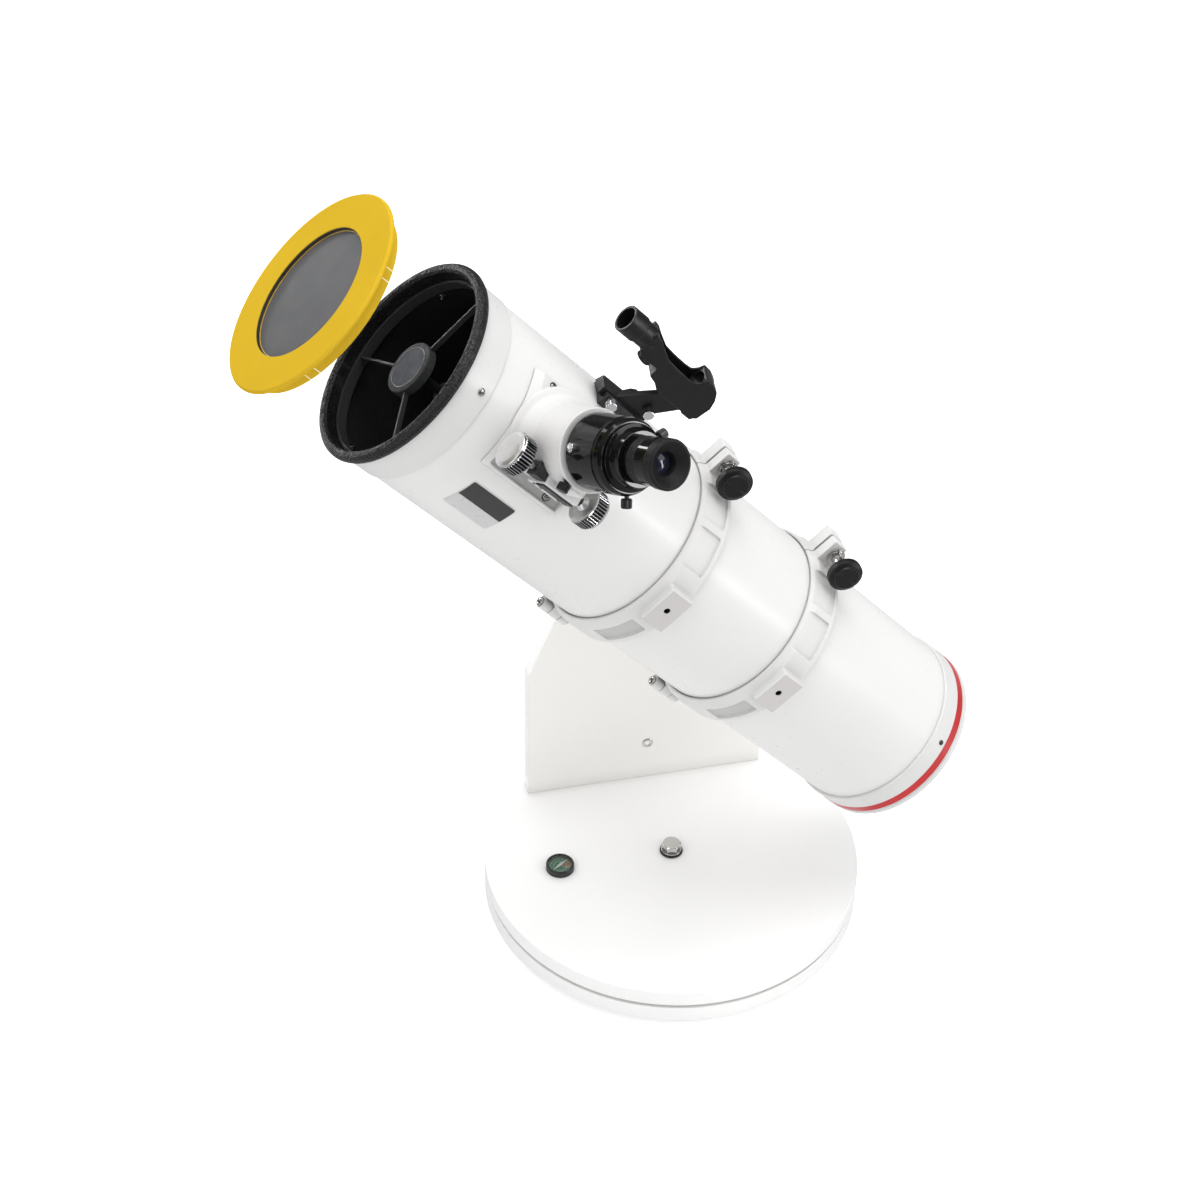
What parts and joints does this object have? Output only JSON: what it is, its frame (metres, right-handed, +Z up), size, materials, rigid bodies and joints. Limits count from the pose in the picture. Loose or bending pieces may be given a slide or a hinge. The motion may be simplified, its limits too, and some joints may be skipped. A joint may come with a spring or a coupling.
{
  "type": "dobsonian telescope",
  "caption": "Table-top newtonian telescope in hinged tube rings on a single-arm rocker base with a turntable, rack focuser, finder and a lift-off solar filter.",
  "frame": {"origin": "centre of the ground board's underside, on the azimuth axis; the feet stand 12 mm below it", "axes": "+Z up along the azimuth axis; the observer stands on the -Y side and the side panel on the +Y side; the tube's open front looks towards -X and up at rest"},
  "size_m": [0.6948, 0.4486, 0.8623],
  "materials": {
    "board_white": "matt white laminate over fibreboard",
    "rubber_feet": "moulded rubber",
    "glide_ptfe": "bare low-friction plastic",
    "steel_hardware": "bright zinc-plated steel",
    "bush_nylon": "black nylon",
    "compass_plastic": "black gloss bezel",
    "compass_needle": "white painted needle",
    "compass_window": "clear window",
    "anodised_black": "glossy black anodised",
    "knob_plastic": "black moulded plastic",
    "cast_white": "satin white paint on cast aluminium",
    "tube_paint": "glossy white enamel",
    "rim_black": "grained black plastic",
    "flat_black": "flat black",
    "mirror": "front-surface aluminised glass",
    "knob_chrome": "bright plated",
    "eyepiece_black": "black barrel with a rubber eyecup",
    "finder_black": "charcoal moulded plastic",
    "filter_yellow": "yellow moulded plastic",
    "filter_film": "dark aluminised film"
  },
  "bodies": {
    "ground_base": {"ground_board": "board_white", "foot_1": "rubber_feet", "foot_2": "rubber_feet", "foot_3": "rubber_feet", "glide_pad_1": "glide_ptfe", "glide_pad_2": "glide_ptfe", "glide_pad_3": "glide_ptfe", "azimuth_bolt": "steel_hardware", "azimuth_insert": "steel_hardware"},
    "turntable": {"turntable_board": "board_white", "side_panel": "board_white", "panel_brace": "board_white", "azimuth_bushing": "bush_nylon", "compass_case": "compass_plastic", "compass_glass": "compass_window", "altitude_friction_pad": "glide_ptfe"},
    "needle": {"compass_needle": "compass_needle"},
    "altitude_head": {"altitude_hub": "anodised_black", "dovetail_saddle": "anodised_black"},
    "altitude_knob": {"altitude_tension_knob": "knob_plastic"},
    "saddle_knob": {"saddle_clamp_knob": "knob_plastic"},
    "cradle": {"dovetail_bar": "anodised_black", "ring_1_rear": "cast_white", "ring_2_rear": "cast_white", "ring_1_pin": "steel_hardware", "ring_2_pin": "steel_hardware"},
    "ring_1_half": {"ring_1_front": "cast_white"},
    "ring_2_half": {"ring_2_front": "cast_white"},
    "ring_1_clamp": {"ring_1_knob": "knob_plastic"},
    "ring_2_clamp": {"ring_2_knob": "knob_plastic"},
    "tube_assembly": {"optical_tube": "tube_paint", "front_collar": "tube_paint", "front_rim": "rim_black", "spider": "flat_black", "secondary_holder": "flat_black", "secondary_mirror": "mirror", "rear_collar": "tube_paint", "rear_cell": "cast_white", "primary_mirror": "mirror", "focuser_base": "cast_white", "finder_shoe": "finder_black"},
    "drawtube_assembly": {"drawtube": "knob_chrome", "eyepiece_holder": "anodised_black", "eyepiece_adapter": "anodised_black"},
    "pinion": {"focus_pinion": "steel_hardware", "focus_knob_front": "knob_chrome", "focus_knob_rear": "knob_chrome"},
    "holder_screw_1": {"holder_thumbscrew_1": "knob_plastic"},
    "holder_screw_2": {"holder_thumbscrew_2": "knob_plastic"},
    "eyepiece_body": {"eyepiece": "eyepiece_black"},
    "focus_lock": {"focus_lock_knob": "knob_plastic"},
    "shoe_screw": {"shoe_thumbscrew": "knob_chrome"},
    "finder": {"finder_bracket": "finder_black", "finder_body": "finder_black"},
    "finder_wheel_body": {"finder_wheel": "finder_black"},
    "collimator_1": {"collimation_knob_1": "knob_chrome"},
    "collimator_2": {"collimation_knob_2": "knob_chrome"},
    "collimator_3": {"collimation_knob_3": "knob_chrome"},
    "solar_filter": {"solar_filter_ring": "filter_yellow", "solar_filter_film": "filter_film"}
  },
  "joints": [
    {"name": "azimuth", "type": "hinge", "parent": "ground_base", "child": "turntable", "pos_m": [0, 0, 0.021], "axis": [0, 0, 1], "continuous": true},
    {"name": "compass_needle_turn", "type": "hinge", "parent": "turntable", "child": "needle", "pos_m": [-0.1205, 0, 0.046], "axis": [0, 0, 1], "continuous": true},
    {"name": "altitude", "type": "hinge", "parent": "turntable", "child": "altitude_head", "pos_m": [0, 0.1165, 0.4265], "axis": [0, 1, 0], "range_deg": [-46.2, 43.8]},
    {"name": "altitude_knob_turn", "type": "hinge", "parent": "altitude_head", "child": "altitude_knob", "pos_m": [0, 0.145, 0.4265], "axis": [0, 1, 0], "continuous": true},
    {"name": "saddle_knob_turn", "type": "hinge", "parent": "altitude_head", "child": "saddle_knob", "pos_m": [-0.02887, 0.0835, 0.39881], "axis": [-0.7218, 0, -0.6921], "continuous": true},
    {"name": "balance_slide", "type": "slide", "parent": "altitude_head", "child": "cradle", "axis": [-0.6921, 0, 0.7218], "range_m": [-0.025, 0.025]},
    {"name": "ring_1_open", "type": "hinge", "parent": "cradle", "child": "ring_1_half", "pos_m": [-0.13739, -0.032, 0.41806], "axis": [0.6921, 0, -0.7218], "range_deg": [0, 100]},
    {"name": "ring_1_knob_turn", "type": "hinge", "parent": "ring_1_half", "child": "ring_1_clamp", "pos_m": [0.01779, -0.062, 0.56687], "axis": [0, -1, 0], "continuous": true},
    {"name": "ring_2_open", "type": "hinge", "parent": "cradle", "child": "ring_2_half", "pos_m": [-0.02595, -0.032, 0.30186], "axis": [0.6921, 0, -0.7218], "range_deg": [0, 100]},
    {"name": "ring_2_knob_turn", "type": "hinge", "parent": "ring_2_half", "child": "ring_2_clamp", "pos_m": [0.13096, -0.062, 0.44887], "axis": [0, -1, 0], "continuous": true},
    {"name": "tube_roll", "type": "hinge", "parent": "cradle", "child": "tube_assembly", "pos_m": [0, -0.032, 0.4265], "axis": [-0.6921, 0, 0.7218], "range_deg": [-90, 90]},
    {"name": "focuser_travel", "type": "slide", "parent": "tube_assembly", "child": "drawtube_assembly", "axis": [0.3984, -0.8339, 0.382], "range_m": [0, 0.036]},
    {"name": "focus_knob_turn", "type": "hinge", "parent": "tube_assembly", "child": "pinion", "pos_m": [-0.16557, -0.14889, 0.65289], "axis": [0.6921, 0, -0.7218], "range_deg": [0, 460]},
    {"name": "holder_thumbscrew_1_turn", "type": "hinge", "parent": "drawtube_assembly", "child": "holder_screw_1", "pos_m": [-0.119, -0.20935, 0.67129], "axis": [-0.1136, -0.4581, -0.8816], "continuous": true},
    {"name": "holder_thumbscrew_2_turn", "type": "hinge", "parent": "drawtube_assembly", "child": "holder_screw_2", "pos_m": [-0.08558, -0.17758, 0.70579], "axis": [0.8692, 0.4762, 0.1331], "continuous": true},
    {"name": "eyepiece_lift", "type": "slide", "parent": "drawtube_assembly", "child": "eyepiece_body", "axis": [0.3984, -0.8339, 0.382], "range_m": [0, 0.03]},
    {"name": "focus_lock_turn", "type": "hinge", "parent": "tube_assembly", "child": "focus_lock", "pos_m": [-0.16216, -0.17389, 0.66545], "axis": [-0.6019, -0.5519, -0.5772], "continuous": true},
    {"name": "shoe_thumbscrew_turn", "type": "hinge", "parent": "tube_assembly", "child": "shoe_screw", "pos_m": [-0.09731, -0.06607, 0.66571], "axis": [-0.1253, -0.9848, -0.1202], "continuous": true},
    {"name": "finder_slide", "type": "slide", "parent": "tube_assembly", "child": "finder", "axis": [-0.6921, 0, 0.7218], "range_m": [0, 0.06]},
    {"name": "finder_wheel_turn", "type": "hinge", "parent": "finder", "child": "finder_wheel_body", "pos_m": [-0.06649, -0.05735, 0.70357], "axis": [0.7108, -0.1736, 0.6816], "continuous": true},
    {"name": "collimation_1", "type": "hinge", "parent": "tube_assembly", "child": "collimator_1", "pos_m": [0.25989, -0.032, 0.23929], "axis": [0.6921, 0, -0.7218], "continuous": true},
    {"name": "collimation_2", "type": "hinge", "parent": "tube_assembly", "child": "collimator_2", "pos_m": [0.19709, 0.01823, 0.17907], "axis": [0.6921, 0, -0.7218], "continuous": true},
    {"name": "collimation_3", "type": "hinge", "parent": "tube_assembly", "child": "collimator_3", "pos_m": [0.19709, -0.08223, 0.17907], "axis": [0.6921, 0, -0.7218], "continuous": true},
    {"name": "solar_filter_slide", "type": "slide", "parent": "tube_assembly", "child": "solar_filter", "axis": [-0.6921, 0, 0.7218], "range_m": [-0.097, 0]}
  ],
  "couplings": [
    {"joint": "focus_knob_turn", "follows": "focuser_travel", "rad_per_m": 222.22}
  ]
}
